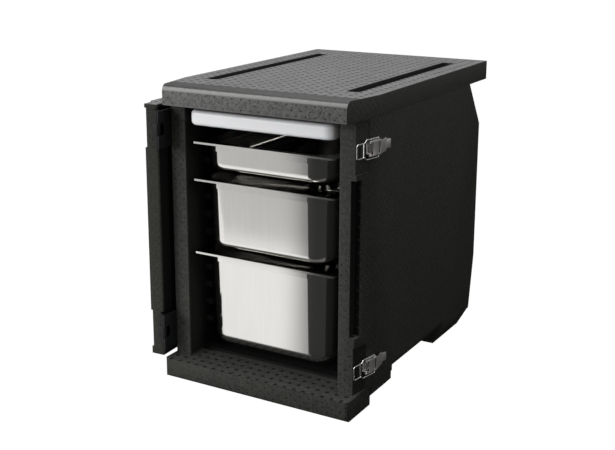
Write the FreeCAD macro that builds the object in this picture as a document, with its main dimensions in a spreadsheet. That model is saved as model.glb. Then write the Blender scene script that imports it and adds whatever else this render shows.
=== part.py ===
import FreeCAD, Part
import math
import os
import re

# Insulated front-loading food carrier: a foam shell with a glued top cover, a side-hung door,
# two draw latches, three steel food pans and a cold plate that slide on moulded runners.
# Frame: X to the right, Y to the back, Z up. Y = 0 is the front face of the side walls and
# Z = 0 the floor. The door is drawn closed and then swung open about its hinge pins.

SIZES = {
    # shell
    "side_x": ("front_x + side_flare", "half width of the shell behind the taper"),
    "side_flare": (11.5, "how much wider each side is behind the taper than at its front"),
    "front_x": ("opening_x + front_wall", "half width of the shell at its front face"),
    "front_wall": (34.5, "thickness of the side walls at their front face"),
    "taper_y": (68, "depth of the tapered front part of the sides"),
    "back_y": ("chamber_y + back_wall", "outer face of the back wall"),
    "back_wall": (24, "thickness of the back wall"),
    "corner_top": (84, "rear corner cut along Y, at the top"),
    "corner_mid": (18, "rear corner cut along Y, along the middle"),
    "corner_low": (39, "rear corner cut along Y, at the bottom"),
    "corner_ratio": (0.6, "rear corner cut across X over the cut along Y"),
    "mid_low_z": (165, "height where the lower corner taper ends"),
    "mid_high_z": ("cover_z - corner_top_tall", "height where the upper corner taper starts"),
    "corner_top_tall": (96.5, "height of the upper corner taper"),
    "ledge_z": (41, "top of the front ledge"),
    "cover_z": (574.5, "top of the shell, seat of the top cover"),
    "opening_x": ("pan_x + opening_gap", "half width of the front opening"),
    "opening_gap": (11.5, "clearance of the pans from the opening's sides"),
    "rebate_y": (44, "depth of the front opening before the chamber"),
    "chamber_x": ("pan_x + chamber_gap", "half width of the chamber between the runner roots"),
    "chamber_gap": (6, "clearance of the pans from the chamber's sides"),
    "chamber_y": ("pan_front_y + pan_long + pan_back_gap", "inner face of the back wall"),
    "pan_back_gap": (46, "room behind the pans"),
    "chamber_z": ("ledge_z + floor_step", "chamber floor"),
    "floor_step": (9, "height of the chamber floor above the ledge"),
    "chamber_round": (20, "radius of the chamber's rear corners"),
    # runners
    "runner_x": ("pan_x - runner_hold", "half distance between the runner tips"),
    "runner_hold": (9, "how far a pan's rim lies on its runner"),
    "runner_y": (54, "front end of the runners"),
    "runner_top_z": ("cover_z - runner_drop", "top of the highest runner"),
    "runner_drop": (40.5, "depth of the highest runner below the cover"),
    "runner_pitch": (38, "height from one runner to the next"),
    "runner_thick": (12, "height of one runner"),
    # base
    "ledge_y": (35, "how far the ledge stands out in front of the walls"),
    "ledge_x": ("side_x - ledge_in", "half width of the ledge"),
    "ledge_in": (5.5, "how far the ledge's ends stand in from the sides"),
    "ledge_back_y": (60, "back of the ledge's foot"),
    "foot_x": ("side_x - foot_in", "half width of the feet at the floor"),
    "foot_in": (23, "how far the feet stand in from the sides"),
    "keel_x": ("side_x - grip_deep", "half width of the base between the hand grips"),
    "grip_deep": (70, "depth of the hand grips in from the sides"),
    "grip_front_y": (148, "front end of the bottom hand grips"),
    "grip_back_y": ("foot_back_y - rear_foot_long", "back end of the bottom hand grips"),
    "rear_foot_long": (144, "length of the rear feet"),
    "grip_round": (20, "radius of the lower edge of the sides above the hand grips"),
    "strip_x": ("side_x - strip_in", "half width of the rubbing strips behind the ledge"),
    "strip_in": (2, "how far the rubbing strips stand in from the sides"),
    "strip_z": (23, "lower edge of the rubbing strips' upright sides"),
    "foot_back_y": ("back_y - foot_back_in", "back of the base"),
    "foot_back_in": (47, "how far the base stands in from the back"),
    "base_round": (8, "radius of the ledge's lower front edge"),
    # finger rebate and latch recesses on the opening side
    "finger_x": ("front_x - finger_wide", "inner side of the finger rebate"),
    "finger_wide": (11, "width of the finger rebate in the front face"),
    "finger_y": (20, "depth of the finger rebate"),
    "finger_low_z": ("latch_low_z + recess_half_z + finger_low_gap", "lower end of the finger rebate"),
    "finger_low_gap": (19, "height from the lower latch recess to the finger rebate"),
    "finger_high_z": ("latch_high_z - recess_half_z - finger_high_gap", "upper end of the finger rebate"),
    "finger_high_gap": (11, "height from the finger rebate to the upper latch recess"),
    "recess_y": (40, "length of a latch recess along the side"),
    "recess_deep": (2.5, "depth of a latch recess"),
    "recess_half_z": (46, "half height of a latch recess"),
    # top cover
    "cover_front_x": ("front_x - cover_front_in", "half width of the cover at its front edge"),
    "cover_front_in": (4.5, "how far the cover's front corners stand in from the front face's"),
    "cover_front_y": (32, "how far the cover stands out in front"),
    "cover_back_y": ("back_y + cover_back_over", "back of the cover"),
    "cover_back_over": (15, "how far the cover stands out behind"),
    "cover_thick": (41, "thickness of the cover"),
    "cover_round": (14, "radius of the cover's upper front edge"),
    "slot_x": ("side_x - slot_in", "distance of a stacking slot from the middle"),
    "slot_in": (60, "distance of a stacking slot from the side"),
    "slot_wide": (28, "width of a stacking slot"),
    "slot_front_y": (72, "front end of a stacking slot"),
    "slot_back_y": ("back_y - slot_back_in", "back end of a stacking slot"),
    "slot_back_in": (58, "distance of a stacking slot's back end from the back"),
    "slot_deep": (14, "depth of a stacking slot"),
    "tongue_x": ("side_x - tongue_in", "distance of a side tongue from the middle"),
    "tongue_in": (30, "distance of a side tongue from the side"),
    "tongue_wide": (8, "width of a tongue"),
    "tongue_deep": (6, "height of a tongue"),
    "tongue_gap": (0.5, "clearance round a tongue"),
    # door
    "door_x": ("front_x - door_in", "half width of the door"),
    "door_in": (2.5, "how far the door's edges stand in from the front face's"),
    "door_thick": (31, "thickness of the door leaf"),
    "door_gap": (0.5, "clearance of the closed door from the wall faces"),
    "door_low_z": ("ledge_z + door_low_gap", "lower edge of the door"),
    "door_low_gap": (2, "clearance of the door above the ledge"),
    "door_high_z": ("cover_z - door_high_gap", "upper edge of the door"),
    "door_high_gap": (1, "clearance of the door below the cover"),
    "lip_deep": (8, "height of the sealing lip on the door's inner face"),
    "lip_wide": (8, "thickness of the sealing lip at the sides"),
    "lip_low": (17, "thickness of the sealing lip at the bottom"),
    "lip_high": (5, "thickness of the sealing lip at the top"),
    "lip_gap": (2.5, "clearance of the lip from the opening's sides"),
    "door_hollow": (7.5, "depth of the hollow inside the lip"),
    "open_angle": (267, "how far the door stands open at rest, degrees"),
    # hinges
    "pin_x": ("front_x + pin_out", "distance of the hinge pins from the middle"),
    "pin_out": (4.5, "how far the hinge pins stand out from the front face's edge"),
    "pin_y": ("door_gap + door_thick + barrel_r", "distance of the hinge pins in front of the walls"),
    "pin_r": (2.5, "radius of a hinge pin"),
    "pin_gap": (0.05, "radial clearance of a hinge pin"),
    "barrel_r": (5.5, "radius of a hinge barrel"),
    "hinge_high_z": ("cover_z - hinge_drop", "middle of the upper hinge"),
    "hinge_drop": (49.5, "depth of the upper hinge's middle below the cover"),
    "hinge_low_z": ("ledge_z + hinge_rise", "middle of the lower hinge"),
    "hinge_rise": (58, "height of the lower hinge's middle above the ledge"),
    "hinge_tall": (76, "height of a hinge"),
    "hinge_knuckle": (24, "height of the middle knuckle"),
    "knuckle_gap": (0.3, "clearance between knuckles"),
    "leaf_thick": (3, "thickness of a hinge leaf"),
    "leaf_back_y": (48, "how far a body leaf reaches back along the side"),
    "leaf_seat_x": ("front_x - leaf_seat_deep", "distance of the body leaf's seat from the middle"),
    "leaf_seat_deep": (1.5, "depth of a body leaf's seat at the front"),
    "door_leaf_wide": (40, "width of a door leaf from the pin"),
    "door_seat": (7, "depth of the leaf seats in the door's outer face"),
    "door_step": (4, "depth of the steps in the door's inner face"),
    "screw_r": (2, "radius of a screw"),
    "screw_head_r": (4, "radius of a screw head"),
    "screw_head": (1.8, "height of a screw head"),
    "screw_long": (14, "length of a screw below its head"),
    # latches
    "latch_high_z": ("cover_z - latch_drop", "middle of the upper latch"),
    "latch_drop": (53.5, "depth of the upper latch's middle below the cover"),
    "latch_low_z": ("ledge_z + latch_rise", "middle of the lower latch"),
    "latch_rise": (51, "height of the lower latch's middle above the ledge"),
    "latch_plate": (1.5, "sheet thickness of the latches"),
    "latch_pivot_y": (33, "lever pivot, along the tapered side"),
    "latch_pivot_n": (5, "lever pivot, out of the tapered side"),
    "bail_pivot_y": (57, "bail pivot, along the tapered side"),
    "bail_pivot_n": (8, "bail pivot, out of the tapered side"),
    "bail_front_y": (10, "bail front bar, in front of the wall face"),
    "bail_wire_r": (1.2, "radius of the bail wire"),
    "bail_half_wide": (18.5, "half height of the bail's wide end"),
    "bail_half_thin": (13.5, "half height of the bail's narrow end"),
    "latch_pin_r": (2, "radius of the lever pin"),
    "lever_half": (14, "half height of the lever"),
    "lever_end_y": (101, "end of the lever, along the tapered side"),
    "lever_end_n": (2, "end of the lever, out of the tapered side"),
    "tail_half": (12.5, "half height of the lever's tail"),
    "tab_half": (9, "half height of the lever's finger tab"),
    "keeper_half": (10, "half height of a keeper"),
    "keeper_deep": (2.5, "how far a keeper's hook reaches over the bail's bar"),
    "keeper_gap": (0.5, "clearance of the bail's bar from a keeper"),
    "rivet_r": (1.6, "radius of a rivet"),
    "rivet_head_r": (3, "radius of a rivet head"),
    "rivet_head": (1, "height of a rivet head"),
    "rivet_long": (8, "length of a rivet below its head"),
    # food pans and cold plate
    "pan_x": (162.5, "half width of a pan's rim"),
    "pan_long": (530, "length of a pan's rim"),
    "pan_front_y": (3, "front of the pans"),
    "pan_flange": (11.5, "width of a pan's flange"),
    "pan_sheet": (0.9, "sheet thickness of the pans"),
    "pan_hem": (4, "height of a pan's rolled edge"),
    "pan_round": (54, "radius of a pan's upright corners"),
    "pan_edge_round": (8, "radius of a pan's rim corners"),
    "pan_foot_round": (24, "radius round a pan's bottom"),
    "pan_draft": (1.6, "draft of a pan's walls, degrees"),
    "pan_shoulder": (18, "depth of a pan's stacking shoulder"),
    "pan_shoulder_in": (2.5, "inset below a pan's stacking shoulder"),
    "pan_a": (65, "depth of the shallow pan"),
    "pan_b": (150, "depth of the medium pan"),
    "pan_c": (200, "depth of the deep pan"),
    "seat_gap": (0.3, "clearance between a rim and its runner"),
    "plate_front_y": (5, "how far the cold plate stands out in front of the walls"),
    "plate_left": (0.5, "how far the cold plate lies to the left of the middle"),
    "plate_thick": (30, "thickness of the cold plate"),
    "plate_corner": (20, "radius of the cold plate's upright corners"),
    "plate_round": (8, "radius of the cold plate's edges"),
    "cap_r": (14, "radius of the cold plate's filler cap"),
}

RUNNER_LEVELS = 12
doc = FreeCAD.newDocument("food_carrier")
sheet = doc.addObject("Spreadsheet::Sheet", "Sizes")
for row, (alias, (size, meaning)) in enumerate(SIZES.items(), start=1):
    sheet.set(f"A{row}", alias)
    sheet.set(f"C{row}", meaning)
    sheet.setAlias(f"B{row}", alias)
for row, (size, meaning) in enumerate(SIZES.values(), start=1):
    sheet.set(f"B{row}", f"={size}" if isinstance(size, str) else str(size))
doc.recompute()

parts = []


def full(text):
    """The expression with every size's name pointing at the spreadsheet."""
    return re.sub(r"[a-z][a-z_0-9]*", lambda m: "Sizes." + m[0] if m[0] in SIZES else m[0], str(text))


def number(text):
    """The value that an expression on the sizes has now."""
    result = sheet.evalExpression(full(text))
    return float(getattr(result, "Value", result))


def bind(thing, **expressions):
    """Set properties from expressions on the sizes."""
    for name, text in expressions.items():
        thing.setExpression(name.replace("__", "."), full(text))


def keep(thing, label):
    """Label a finished sub-part and put it on the list that is written out."""
    thing.Label = label
    parts.append(thing)
    return thing


# ---------------------------------------------------------------- PartDesign helpers

def new_body(name):
    return doc.addObject("PartDesign::Body", name)


def new_sketch(body, name, plane, offset="0"):
    """A sketch on one of the body's own origin planes, moved along its normal."""
    sketch = body.newObject("Sketcher::SketchObject", name)
    base = [f for f in body.Origin.OriginFeatures if f.Role == plane][0]
    sketch.AttachmentSupport = [(base, "")]
    sketch.MapMode = "FlatFace"
    bind(sketch, AttachmentOffset__Base__z=offset)
    return sketch


def pin_point(sketch, line, end, place):
    """Fix one end of a line at a place given by two expressions."""
    import Sketcher
    for kind, text in zip(("DistanceX", "DistanceY"), place):
        index = sketch.addConstraint(Sketcher.Constraint(kind, -1, 1, line, end, number(text)))
        sketch.setExpression(f"Constraints[{index}]", full(text))


def polygon(sketch, places):
    """A closed outline through places, each a pair of expressions."""
    import Sketcher
    corners = [FreeCAD.Vector(number(x), number(y), 0) for x, y in places]
    first = sketch.GeometryCount
    for start, end in zip(corners, corners[1:] + corners[:1]):
        sketch.addGeometry(Part.LineSegment(start, end))
    for step, place in enumerate(places):
        line = first + step
        after = first + (step + 1) % len(places)
        sketch.addConstraint(Sketcher.Constraint("Coincident", line, 2, after, 1))
        pin_point(sketch, line, 1, place)
    return sketch


def rectangle(sketch, low_x, high_x, low_y, high_y):
    return polygon(sketch, [(low_x, low_y), (high_x, low_y), (high_x, high_y), (low_x, high_y)])


def rounded_rectangle(sketch, half_x, half_y, radius):
    """A rectangle about the sketch's origin with its corners rounded."""
    import Sketcher
    x, y, r = number(half_x), number(half_y), number(radius)
    first = sketch.GeometryCount
    sides = [((r - x, -y), (x - r, -y)), ((x, r - y), (x, y - r)),
             ((x - r, y), (r - x, y)), ((-x, y - r), (-x, r - y))]
    for start, end in sides:
        sketch.addGeometry(Part.LineSegment(FreeCAD.Vector(*start, 0), FreeCAD.Vector(*end, 0)))
    for turn, (sx, sy) in enumerate([(1, -1), (1, 1), (-1, 1), (-1, -1)]):
        centre = FreeCAD.Vector(sx * (x - r), sy * (y - r), 0)
        circle = Part.Circle(centre, FreeCAD.Vector(0, 0, 1), r)
        begin = (turn - 1) * math.pi / 2
        sketch.addGeometry(Part.ArcOfCircle(circle, begin, begin + math.pi / 2))
    for turn in range(4):
        arc = first + 4 + turn
        sketch.addConstraint(Sketcher.Constraint("Tangent", first + turn, 2, arc, 1))
        sketch.addConstraint(Sketcher.Constraint("Tangent", arc, 2, first + (turn + 1) % 4, 1))
    for arc in range(1, 4):
        sketch.addConstraint(Sketcher.Constraint("Equal", first + 4, first + 4 + arc))
    fixed = [("DistanceY", first, f"-({half_y})"), ("DistanceX", first + 1, half_x),
             ("DistanceY", first + 2, half_y), ("DistanceX", first + 3, f"-({half_x})")]
    for line, kind in enumerate(["Horizontal", "Vertical"]):
        sketch.addConstraint(Sketcher.Constraint(kind, first + line))
    for kind, line, text in fixed:
        index = sketch.addConstraint(Sketcher.Constraint(kind, -1, 1, line, 1, number(text)))
        sketch.setExpression(f"Constraints[{index}]", full(text))
    index = sketch.addConstraint(Sketcher.Constraint("Radius", first + 4, r))
    sketch.setExpression(f"Constraints[{index}]", full(radius))
    return sketch


def circle(sketch, centre_x, centre_y, radius):
    """A full circle at a place given by expressions."""
    import Sketcher
    centre = FreeCAD.Vector(number(centre_x), number(centre_y), 0)
    geo = sketch.addGeometry(Part.Circle(centre, FreeCAD.Vector(0, 0, 1), number(radius)))
    pin_point(sketch, geo, 3, (centre_x, centre_y))
    index = sketch.addConstraint(Sketcher.Constraint("Radius", geo, number(radius)))
    sketch.setExpression(f"Constraints[{index}]", full(radius))
    return sketch


def edge_waste(sketch, side, out, low, radius):
    """What rounding takes off a lower outer edge, on the side -1 or 1 of the middle."""
    import Sketcher
    sign = "-" if side < 0 else ""
    corner = (f"{sign}({out})", low)
    upper = (f"{sign}({out})", f"{low} + {radius}")
    inner = (f"{sign}({out} - {radius})", low)
    r = number(radius)
    centre = FreeCAD.Vector(side * (number(out) - r), number(low) + r, 0)
    begin = -math.pi / 2 if side > 0 else -math.pi
    arc = Part.ArcOfCircle(Part.Circle(centre, FreeCAD.Vector(0, 0, 1), r), begin, begin + math.pi / 2)
    places = [corner, upper, inner]
    points = [FreeCAD.Vector(number(x), number(y), 0) for x, y in places]
    sketch.addGeometry(Part.LineSegment(points[0], points[1]))
    sketch.addGeometry(Part.LineSegment(points[2], points[0]))
    sketch.addGeometry(arc)
    sketch.addConstraint(Sketcher.Constraint("Coincident", 1, 2, 0, 1))
    arc_upper, arc_inner = (2, 1) if side > 0 else (1, 2)
    sketch.addConstraint(Sketcher.Constraint("Coincident", 2, arc_upper, 0, 2))
    sketch.addConstraint(Sketcher.Constraint("Coincident", 2, arc_inner, 1, 1))
    pin_point(sketch, 0, 1, corner)
    pin_point(sketch, 0, 2, upper)
    pin_point(sketch, 1, 1, inner)
    index = sketch.addConstraint(Sketcher.Constraint("Radius", 2, r))
    sketch.setExpression(f"Constraints[{index}]", full(radius))
    return sketch


def volume(body):
    doc.recompute()
    return body.Shape.Volume


def extrude(body, kind, sketch, length, flip=False, both=False, draft=None):
    """A Pad or a Pocket of a sketch, checked for having added or removed material."""
    before = volume(body) if body.Tip else 0.0
    feature = body.newObject(f"PartDesign::{kind}", f"{sketch.Name}_{kind}")
    feature.Profile = sketch
    bind(feature, Length=length)
    feature.Reversed = flip
    if both:
        feature.SideType = "Symmetric"
    if draft:
        bind(feature, TaperAngle=draft)
    after = volume(body)
    grew = after > before + 0.01
    if (kind == "Pad") != grew or (kind == "Pocket") != (after < before - 0.01):
        raise ValueError(f"{feature.Name} changed the volume from {before:.1f} to {after:.1f}")
    return feature


def pad(body, sketch, length, **options):
    return extrude(body, "Pad", sketch, length, **options)


def pocket(body, sketch, length, **options):
    return extrude(body, "Pocket", sketch, length, **options)


def round_edges(body, radius, wanted, kind="Fillet"):
    """Fillet or chamfer the tip's edges for which wanted(edge) is true."""
    doc.recompute()
    base = body.Tip
    names = [f"Edge{n}" for n, edge in enumerate(base.Shape.Edges, start=1) if wanted(edge)]
    if not names:
        raise ValueError(f"{body.Name}: no edge to round")
    feature = body.newObject(f"PartDesign::{kind}", f"{body.Name}_{kind}")
    feature.Base = (base, names)
    if kind == "Fillet":
        bind(feature, Radius=radius)
    else:
        bind(feature, Size=radius)
    doc.recompute()
    return feature


def edge_ends(edge):
    box = edge.BoundBox
    return (box.XMin, box.XMax), (box.YMin, box.YMax), (box.ZMin, box.ZMax)


def flat_at(edge, axis, level):
    """Whether an edge lies wholly at one level along an axis, 0 to 2."""
    low, high = edge_ends(edge)[axis]
    return abs(low - level) < 0.01 and abs(high - level) < 0.01


def upright(edge):
    (x0, x1), (y0, y1), (z0, z1) = edge_ends(edge)
    return x1 - x0 < 0.01 and y1 - y0 < 0.01 and z1 - z0 > 1


# ---------------------------------------------------------------- Part helpers

def box(low_x, high_x, low_y, high_y, low_z, high_z):
    """A Part::Box between expressions for its faces."""
    thing = doc.addObject("Part::Box", "block")
    bind(thing, Length=f"({high_x}) - ({low_x})", Width=f"({high_y}) - ({low_y})",
         Height=f"({high_z}) - ({low_z})",
         Placement__Base__x=low_x, Placement__Base__y=low_y, Placement__Base__z=low_z)
    return thing


def rod(radius, height, x, y, z, direction=(0, 0, 1)):
    """A Part::Cylinder from a start point along a direction."""
    thing = doc.addObject("Part::Cylinder", "rod")
    thing.Placement.Rotation = FreeCAD.Rotation(FreeCAD.Vector(0, 0, 1), FreeCAD.Vector(*direction))
    bind(thing, Radius=radius, Height=height,
         Placement__Base__x=x, Placement__Base__y=y, Placement__Base__z=z)
    return thing


def join(*things):
    thing = doc.addObject("Part::MultiFuse", "joined")
    thing.Shapes = list(things)
    thing.Refine = True
    return thing


def cut(base, *tools):
    thing = doc.addObject("Part::Cut", "cut")
    thing.Base = base
    thing.Tool = tools[0] if len(tools) == 1 else join(*tools)
    thing.Refine = True
    return thing


def group(*things):
    """Separate solids that are kept in one sub-part."""
    thing = doc.addObject("Part::Compound", "set")
    thing.Links = list(things)
    return thing


# ---------------------------------------------------------------- shell

def shell_section(body, name, level, corner):
    """The shell's outline at one height, with its rear corners cut off."""
    sketch = new_sketch(body, name, "XY_Plane", level)
    across = f"side_x - {corner} * corner_ratio"
    return polygon(sketch, [("-front_x", "0"), ("front_x", "0"), ("side_x", "taper_y"),
                            ("side_x", f"back_y - {corner}"), (across, "back_y"),
                            (f"-({across})", "back_y"), ("-side_x", f"back_y - {corner}"),
                            ("-side_x", "taper_y")])


def add_base(body):
    """The ledge, the feet behind it and the keel between the hand grips."""
    sketch = new_sketch(body, "ledge", "XY_Plane")
    rectangle(sketch, "-ledge_x", "ledge_x", "-ledge_y", "ledge_back_y")
    pad(body, sketch, "ledge_z")
    front = number("-ledge_y")
    half = number("ledge_x")
    round_edges(body, "base_round", lambda edge: flat_at(edge, 2, 0) and flat_at(edge, 1, front)
                or upright(edge) and flat_at(edge, 1, front) and abs(abs(edge.BoundBox.XMin) - half) < 0.01)
    sketch = new_sketch(body, "keel", "XY_Plane")
    rectangle(sketch, "-keel_x", "keel_x", "ledge_back_y", "foot_back_y")
    pad(body, sketch, "ledge_z")
    sketch = new_sketch(body, "strip", "XZ_Plane", "-ledge_back_y")
    polygon(sketch, [("-foot_x", "0"), ("foot_x", "0"), ("strip_x", "strip_z"), ("strip_x", "ledge_z"),
                     ("-strip_x", "ledge_z"), ("-strip_x", "strip_z")])
    pad(body, sketch, "grip_front_y - ledge_back_y", flip=True)
    sketch = new_sketch(body, "rear_foot", "XZ_Plane", "-grip_back_y")
    polygon(sketch, [("-foot_x", "0"), ("foot_x", "0"), ("side_x", "ledge_z"), ("-side_x", "ledge_z")])
    pad(body, sketch, "foot_back_y - grip_back_y", flip=True)
    for side in (-1, 1):
        sketch = new_sketch(body, "grip_edge_" + ("left" if side < 0 else "right"), "XZ_Plane", "-grip_front_y")
        edge_waste(sketch, side, "side_x", "ledge_z", "grip_round")
        pocket(body, sketch, "grip_back_y - grip_front_y", flip=False)


def cut_chamber(body):
    """The opening that the door's lip enters, and the chamber behind it."""
    sketch = new_sketch(body, "opening", "XY_Plane", "ledge_z")
    rectangle(sketch, "-opening_x", "opening_x", "-1", "rebate_y")
    pocket(body, sketch, "cover_z - ledge_z + 1", flip=True)
    sketch = new_sketch(body, "chamber", "XY_Plane", "chamber_z")
    rectangle(sketch, "-chamber_x", "chamber_x", "rebate_y - 1", "chamber_y")
    pocket(body, sketch, "cover_z - chamber_z + 1", flip=True)
    back = number("chamber_y")
    round_edges(body, "chamber_round", lambda edge: upright(edge) and flat_at(edge, 1, back))


def add_runners(body):
    """Twelve pairs of runners down the chamber's sides."""
    sketch = new_sketch(body, "runner", "XZ_Plane", "-runner_y")
    rectangle(sketch, "-chamber_x - 1", "-runner_x", "runner_top_z - runner_thick", "runner_top_z")
    first = pad(body, sketch, "chamber_y - runner_y", flip=True)
    down = body.newObject("PartDesign::LinearPattern", "runner_levels")
    down.Originals = [first]
    down.Direction = ([f for f in body.Origin.OriginFeatures if f.Role == "Z_Axis"][0], [""])
    down.Reversed = True
    down.Occurrences = RUNNER_LEVELS
    bind(down, Length=f"runner_pitch * {RUNNER_LEVELS - 1}")
    body.Tip = down
    doc.recompute()
    before = body.Shape.Volume
    across = body.newObject("PartDesign::MultiTransform", "runner_pairs")
    across.Originals = [first]
    levels = body.newObject("PartDesign::LinearPattern", "runner_pair_levels")
    levels.Direction = down.Direction
    levels.Reversed = True
    levels.Occurrences = RUNNER_LEVELS
    bind(levels, Length=f"runner_pitch * {RUNNER_LEVELS - 1}")
    mirror = body.newObject("PartDesign::Mirrored", "runner_mirror")
    mirror.MirrorPlane = ([f for f in body.Origin.OriginFeatures if f.Role == "YZ_Plane"][0], [""])
    across.Transformations = [levels, mirror]
    body.Tip = across
    doc.recompute()
    if body.Shape.Volume < before + 1:
        raise ValueError("the runners were not mirrored")


def side_strip(body, name, low_z, high_z, start, end, deep):
    """A shallow recess that follows the tapered side, from start to end along Y."""
    slope = "(side_x - front_x) / taper_y"
    sketch = new_sketch(body, name, "XY_Plane", low_z)
    polygon(sketch, [(f"front_x + {start} * {slope} - {deep}", start),
                     (f"front_x + {start} * {slope} + 5", start),
                     (f"front_x + {end} * {slope} + 5", end),
                     (f"front_x + {end} * {slope} - {deep}", end)])
    pocket(body, sketch, f"({high_z}) - ({low_z})", flip=True)


def make_shell():
    body = new_body("shell")
    sections = [shell_section(body, "outline_floor", "ledge_z", "corner_low"),
                shell_section(body, "outline_low", "mid_low_z", "corner_mid"),
                shell_section(body, "outline_high", "mid_high_z", "corner_mid"),
                shell_section(body, "outline_top", "cover_z", "corner_top")]
    loft = body.newObject("PartDesign::AdditiveLoft", "walls")
    loft.Profile = sections[0]
    loft.Sections = sections[1:]
    loft.Ruled = True
    add_base(body)
    cut_chamber(body)
    add_runners(body)
    sketch = new_sketch(body, "finger_rebate", "XY_Plane", "finger_low_z")
    rectangle(sketch, "finger_x", "side_x + 5", "-1", "finger_y")
    pocket(body, sketch, "finger_high_z - finger_low_z", flip=True)
    side_strip(body, "upper_recess", "latch_high_z - recess_half_z", "cover_z + 1", "-1", "recess_y", "recess_deep")
    side_strip(body, "lower_recess", "ledge_z", "latch_low_z + recess_half_z", "-1", "recess_y", "recess_deep")
    for name, middle in (("upper_seat", "hinge_high_z"), ("lower_seat", "hinge_low_z")):
        sketch = new_sketch(body, name, "XY_Plane", f"{middle} - hinge_tall / 2 - 2")
        rectangle(sketch, "-side_x - 5", "-leaf_seat_x", "0", "leaf_back_y + 3")
        pocket(body, sketch, "hinge_tall + 4", flip=True)
    for name, low_x, high_x, low_y, high_y in tongue_places("tongue_gap"):
        sketch = new_sketch(body, "groove_" + name, "XY_Plane", "cover_z - tongue_deep - tongue_gap")
        rectangle(sketch, low_x, high_x, low_y, high_y)
        pocket(body, sketch, "tongue_deep + tongue_gap + 1", flip=True)
    return keep(body, "body_shell")


def tongue_places(gap):
    """The tongues that locate the cover: name and outline, grown by gap."""
    back_mid = "(chamber_y + back_y) / 2"
    return [("left", f"-tongue_x - tongue_wide / 2 - {gap}", f"-tongue_x + tongue_wide / 2 + {gap}",
             f"taper_y + 12 - {gap}", f"back_y - 110 + {gap}"),
            ("right", f"tongue_x - tongue_wide / 2 - {gap}", f"tongue_x + tongue_wide / 2 + {gap}",
             f"taper_y + 12 - {gap}", f"back_y - 110 + {gap}"),
            ("back", f"-keel_x + 30 - {gap}", f"keel_x - 30 + {gap}",
             f"{back_mid} - tongue_wide / 2 - {gap}", f"{back_mid} + tongue_wide / 2 + {gap}")]


def make_cover():
    body = new_body("cover")
    sketch = new_sketch(body, "cover_outline", "XY_Plane", "cover_z")
    polygon(sketch, [("-cover_front_x", "-cover_front_y"), ("cover_front_x", "-cover_front_y"),
                     ("side_x", "taper_y"), ("side_x", "cover_back_y"),
                     ("-side_x", "cover_back_y"), ("-side_x", "taper_y")])
    pad(body, sketch, "cover_thick")
    top = number("cover_z + cover_thick")
    front = number("-cover_front_y")
    round_edges(body, "cover_round", lambda edge: flat_at(edge, 2, top) and flat_at(edge, 1, front))
    for side, sign in (("left", "-1"), ("right", "1")):
        sketch = new_sketch(body, side + "_slot", "XY_Plane", "cover_z + cover_thick - slot_deep")
        middle = f"{sign} * slot_x"
        rectangle(sketch, f"{middle} - slot_wide / 2", f"{middle} + slot_wide / 2", "slot_front_y", "slot_back_y")
        pocket(body, sketch, "slot_deep + 1", flip=True)
    ends = (number("slot_front_y"), number("slot_back_y"))
    round_edges(body, "slot_wide * 0.3", lambda edge: upright(edge) and min(abs(edge.BoundBox.YMin - y) for y in ends) < 0.01)
    for name, low_x, high_x, low_y, high_y in tongue_places("0"):
        sketch = new_sketch(body, "tongue_" + name, "XY_Plane", "cover_z")
        rectangle(sketch, low_x, high_x, low_y, high_y)
        pad(body, sketch, "tongue_deep", flip=True)
    return keep(body, "top_cover")


# ---------------------------------------------------------------- door and hinges

def hinge_heights():
    return (("upper", "hinge_high_z"), ("lower", "hinge_low_z"))


def open_door(thing):
    """Swing a piece that is drawn on the closed door to the open rest position."""
    pin = FreeCAD.Vector(-number("pin_x"), -number("pin_y"), 0)
    swing = FreeCAD.Placement(FreeCAD.Vector(), FreeCAD.Rotation(FreeCAD.Vector(0, 0, 1), -number("open_angle")), pin)
    thing.Placement = swing.multiply(thing.Placement)
    return thing


def make_door():
    """The door leaf with its sealing lip, the hollow inside it and the hinge seats."""
    body = new_body("door")
    sketch = new_sketch(body, "door_outline", "XZ_Plane", "door_gap")
    rectangle(sketch, "-door_x", "door_x", "door_low_z", "door_high_z")
    pad(body, sketch, "door_thick")
    round_edges(body, "3", lambda edge: flat_at(edge, 1, -number("door_gap + door_thick")))
    sketch = new_sketch(body, "lip_outline", "XZ_Plane", "door_gap")
    rectangle(sketch, "-opening_x + lip_gap", "opening_x - lip_gap", "door_low_z", "door_high_z")
    pad(body, sketch, "lip_deep", flip=True)
    sketch = new_sketch(body, "hollow", "XZ_Plane", "door_gap + door_hollow")
    rectangle(sketch, "-opening_x + lip_gap + lip_wide", "opening_x - lip_gap - lip_wide",
              "door_low_z + lip_low", "door_high_z - lip_high")
    pocket(body, sketch, "door_hollow + lip_deep + 1", flip=False)
    for name, middle in hinge_heights():
        sketch = new_sketch(body, name + "_leaf_seat", "XY_Plane", f"{middle} - hinge_tall / 2 - 2")
        rectangle(sketch, "-door_x - 1", "-pin_x + door_leaf_wide + 2",
                  "-door_gap - door_thick - 1", "-door_gap - door_thick + door_seat")
        pocket(body, sketch, "hinge_tall + 4", flip=True)
        sketch = new_sketch(body, name + "_inner_step", "XY_Plane", f"{middle} - hinge_tall / 2 - 2")
        rectangle(sketch, "-door_x - 1", "-door_x + 12", "-door_gap - door_step", "-door_gap + 1")
        pocket(body, sketch, "hinge_tall + 4", flip=True)
    open_door(body)
    return keep(body, "door_panel")


def body_screws(middle):
    """Places of one body leaf's screws: along Y and height."""
    return [(y, f"{middle} + {rise}") for rise in ("hinge_tall / 2 - 12", "12 - hinge_tall / 2")
            for y in ("leaf_back_y - 8", "leaf_back_y - 30")]


def door_screws(middle):
    """Places of one door leaf's screws: along X and height."""
    return [(x, f"{middle} + {rise}") for rise in ("hinge_tall / 2 - 12", "12 - hinge_tall / 2")
            for x in ("-pin_x + door_leaf_wide - 8", "-pin_x + door_leaf_wide - 22")]


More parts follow.
